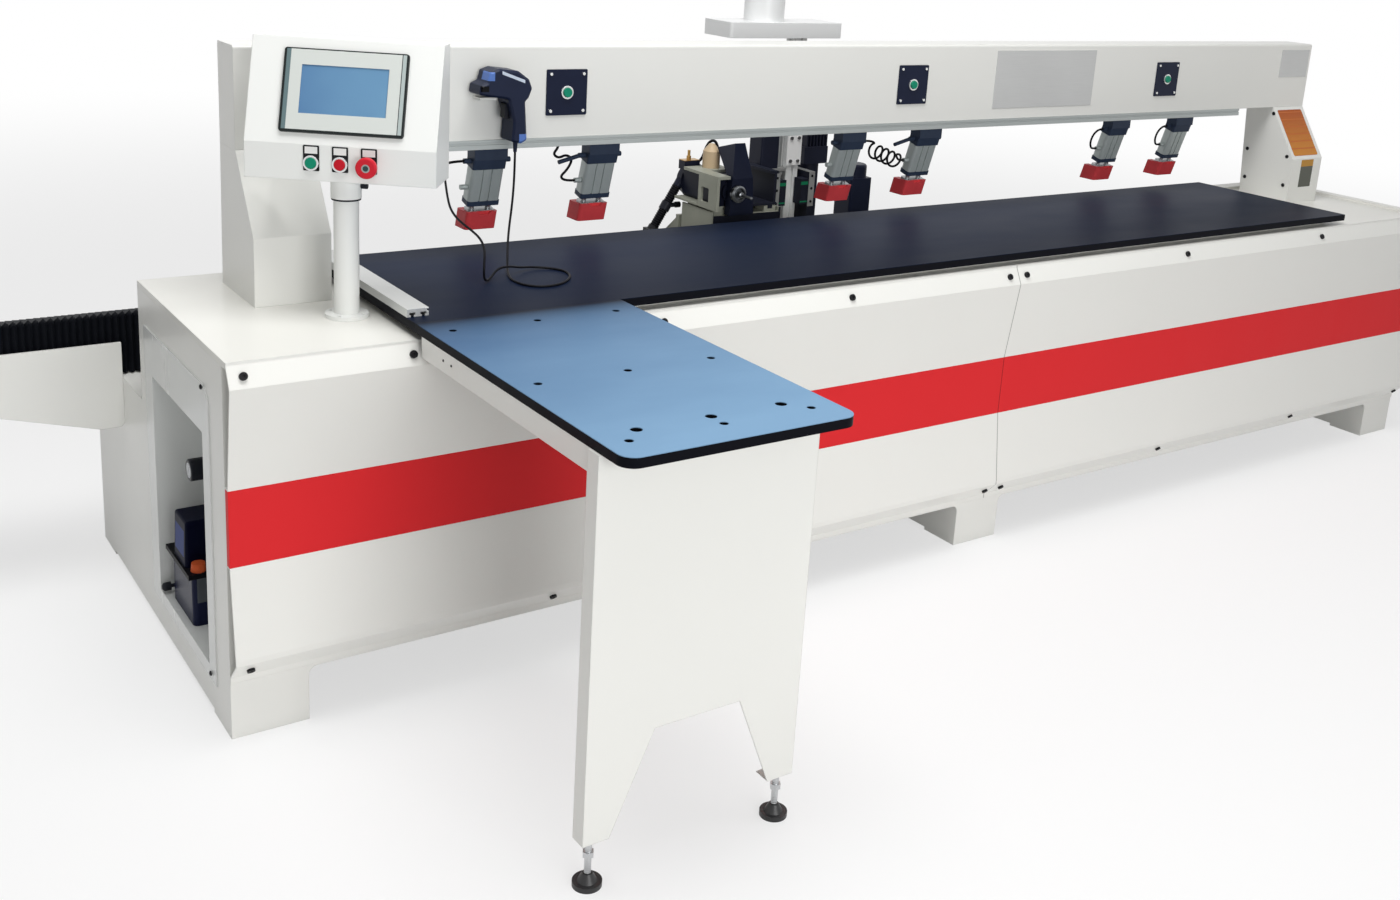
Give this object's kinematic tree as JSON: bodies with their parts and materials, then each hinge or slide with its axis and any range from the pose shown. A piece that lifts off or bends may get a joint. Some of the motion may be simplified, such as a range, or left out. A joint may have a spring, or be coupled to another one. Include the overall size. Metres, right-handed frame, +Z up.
{
  "type": "cnc side hole drilling machine",
  "caption": "Long floor-standing machine that drills the edges of panels: sheet base, laminated table, clamping beam, control panel and a rail-mounted drilling head behind",
  "frame": {"origin": "on the floor under the middle of the whole machine", "axes": "+X along the machine to the operator's right, +Y from the operator to the back, +Z up"},
  "size_m": [4.276, 1.788, 1.345],
  "materials": {
    "cream_paint": "semi-gloss off-white paint",
    "deck_paint": "semi-gloss off-white paint",
    "red_paint": "gloss red paint",
    "black_steel": "black finish",
    "dark_laminate": "dark laminated board",
    "grey_paint": "semi-gloss off-white paint",
    "steel": "ground steel",
    "aluminium": "anodised aluminium",
    "black_plastic": "moulded black",
    "blue_plastic": "moulded blue",
    "clear_plastic": "translucent moulded tank",
    "orange_acrylic": "tinted acrylic",
    "green_plastic": "moulded green",
    "red_plastic": "moulded red",
    "black_rubber": "flexible black",
    "white_paint": "white paint"
  },
  "bodies": {
    "machine": {"base_frame": "cream_paint", "front_cover_left": "cream_paint", "front_cover_right": "cream_paint", "end_cover": "cream_paint", "left_column": "cream_paint", "right_post": "cream_paint", "cross_beam": "cream_paint", "pedestal": "cream_paint", "rail_beam": "cream_paint", "deck_plate": "deck_paint", "front_stripes": "red_paint", "cover_screws": "black_steel", "station_plates": "black_steel", "main_table": "dark_laminate", "extension_board": "dark_laminate", "extension_frame": "grey_paint", "guide_rails": "steel", "gear_rack": "steel", "side_fence": "aluminium", "clamp_rail": "aluminium", "clamp_barrels": "aluminium", "clamp_caps": "black_plastic", "air_regulator": "black_plastic", "lubrication_pump": "blue_plastic", "scanner_body": "blue_plastic", "oil_tank": "clear_plastic", "post_window": "orange_acrylic", "scanner_cord": "black_rubber", "air_hoses": "black_rubber", "bellows_left": "black_rubber", "bellows_right": "black_rubber"},
    "carriage": {"x_saddle": "black_steel", "bearing_blocks": "steel", "x_motor": "black_plastic", "head_column": "cream_paint", "hood_post": "aluminium", "dust_hood": "white_paint", "lift_motor": "aluminium", "head_hose": "black_rubber"},
    "pinion_gear": {"pinion": "black_steel"},
    "lift": {"z_slide": "cream_paint"},
    "feed": {"y_slide": "cream_paint", "drill_motor": "black_plastic", "dust_chute": "black_plastic"},
    "spindle": {"drill_spindle": "steel"},
    "pads_left": {"clamp_pads_1": "red_paint"},
    "pads_middle": {"clamp_pads_2": "red_paint"},
    "pads_right": {"clamp_pads_3": "red_paint"},
    "panel": {"panel_box": "cream_paint", "hmi_unit": "black_plastic", "legend_plates": "black_steel"},
    "start": {"start_button": "green_plastic"},
    "stop": {"stop_button": "red_plastic"},
    "estop": {"estop_button": "red_plastic"},
    "station_left": {"station_button_1": "green_plastic"},
    "station_middle": {"station_button_2": "green_plastic"},
    "station_right": {"station_button_3": "green_plastic"},
    "trigger": {"scanner_trigger": "black_plastic"},
    "knob": {"pull_knob": "black_plastic"},
    "feet": {"levelling_feet": "steel"}
  },
  "joints": [
    {"name": "carriage_travel", "type": "slide", "parent": "machine", "child": "carriage", "axis": [1, 0, 0], "range_m": [-1.15, 1.05], "deforming": ["bellows_left", "bellows_right"]},
    {"name": "pinion_spin", "type": "hinge", "parent": "carriage", "child": "pinion_gear", "pos_m": [0.437, 0.746, 0.56], "axis": [0, 0, 1], "continuous": true},
    {"name": "head_lift", "type": "slide", "parent": "carriage", "child": "lift", "axis": [0, 0, 1], "range_m": [-0.03, 0.02], "deforming": ["head_hose"]},
    {"name": "drill_feed", "type": "slide", "parent": "lift", "child": "feed", "axis": [0, -1, 0], "range_m": [0, 0.07], "deforming": ["head_hose"]},
    {"name": "spindle_spin", "type": "hinge", "parent": "feed", "child": "spindle", "pos_m": [-0.158, 0.559, 0.822], "axis": [0, 1, 0], "continuous": true},
    {"name": "clamp_left", "type": "slide", "parent": "machine", "child": "pads_left", "axis": [0, 0.279, -0.9603], "range_m": [0, 0.042]},
    {"name": "clamp_middle", "type": "slide", "parent": "machine", "child": "pads_middle", "axis": [0, 0.279, -0.9603], "range_m": [0, 0.042]},
    {"name": "clamp_right", "type": "slide", "parent": "machine", "child": "pads_right", "axis": [0, 0.279, -0.9603], "range_m": [0, 0.042]},
    {"name": "panel_swivel", "type": "hinge", "parent": "machine", "child": "panel", "pos_m": [-1.4155, 0.0585, 1], "axis": [0, 0, 1], "range_deg": [-60, 60]},
    {"name": "start_press", "type": "slide", "parent": "panel", "child": "start", "axis": [0.585, 0.8111, 0], "range_m": [0, 0.004], "stiffness_N_per_m": 600},
    {"name": "stop_press", "type": "slide", "parent": "panel", "child": "stop", "axis": [0.585, 0.8111, 0], "range_m": [0, 0.004], "stiffness_N_per_m": 600},
    {"name": "estop_press", "type": "slide", "parent": "panel", "child": "estop", "axis": [0.585, 0.8111, 0], "range_m": [0, 0.006]},
    {"name": "station_press_left", "type": "slide", "parent": "machine", "child": "station_left", "axis": [0, 1, 0], "range_m": [0, 0.004], "stiffness_N_per_m": 600},
    {"name": "station_press_middle", "type": "slide", "parent": "machine", "child": "station_middle", "axis": [0, 1, 0], "range_m": [0, 0.004], "stiffness_N_per_m": 600},
    {"name": "station_press_right", "type": "slide", "parent": "machine", "child": "station_right", "axis": [0, 1, 0], "range_m": [0, 0.004], "stiffness_N_per_m": 600},
    {"name": "trigger_pull", "type": "slide", "parent": "machine", "child": "trigger", "axis": [1, 0, 0], "range_m": [0, 0.004], "stiffness_N_per_m": 600},
    {"name": "knob_pull", "type": "slide", "parent": "machine", "child": "knob", "axis": [-1, 0, 0], "range_m": [0, 0.03]},
    {"name": "feet_level", "type": "slide", "parent": "machine", "child": "feet", "axis": [0, 0, 1], "range_m": [-0.01, 0.015]}
  ],
  "couplings": [
    {"joint": "pinion_spin", "follows": "carriage_travel", "rad_per_m": 29.92}
  ]
}
